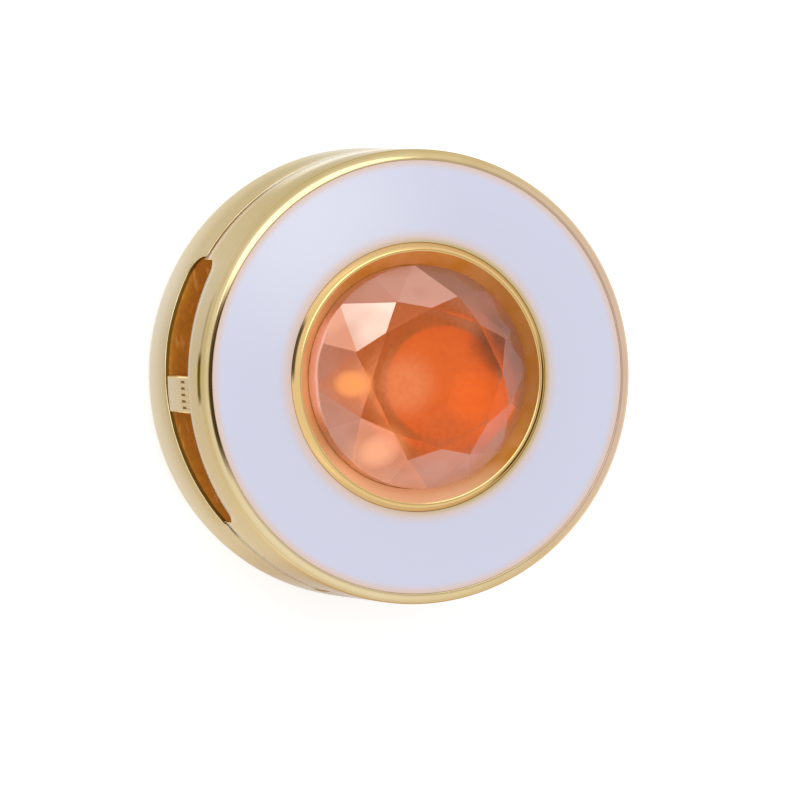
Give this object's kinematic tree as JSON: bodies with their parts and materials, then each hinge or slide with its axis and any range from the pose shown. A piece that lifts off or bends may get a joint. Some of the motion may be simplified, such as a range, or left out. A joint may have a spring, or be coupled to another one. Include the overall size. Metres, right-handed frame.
{
  "type": "round clip charm",
  "caption": "Round gold clip charm with a white enamel ring and a raised faceted stone; the front case hinges open over a slot for a flat bracelet strap.",
  "frame": {"origin": "centre of the flat back, in the plane that the charm lies on", "axes": "+Z out of the front, through the stone; +X along the strap, to the picture's right; +Y up in the picture, away from the hinge"},
  "size_m": [0.012, 0.012, 0.0068],
  "materials": {
    "gold": "polished gold plate",
    "enamel": "glossy cold enamel",
    "stone": "clear peach, faceted and polished"
  },
  "bodies": {
    "back": {"back_shell": "gold", "hinge_pin": "gold"},
    "front": {"front_case": "gold", "enamel_ring": "enamel", "stone": "stone"}
  },
  "joints": [
    {"name": "clip_hinge", "type": "hinge", "parent": "back", "child": "front", "pos_m": [0, -0.00552, 0.00295], "axis": [1, 0, 0], "range_deg": [0, 75]}
  ]
}
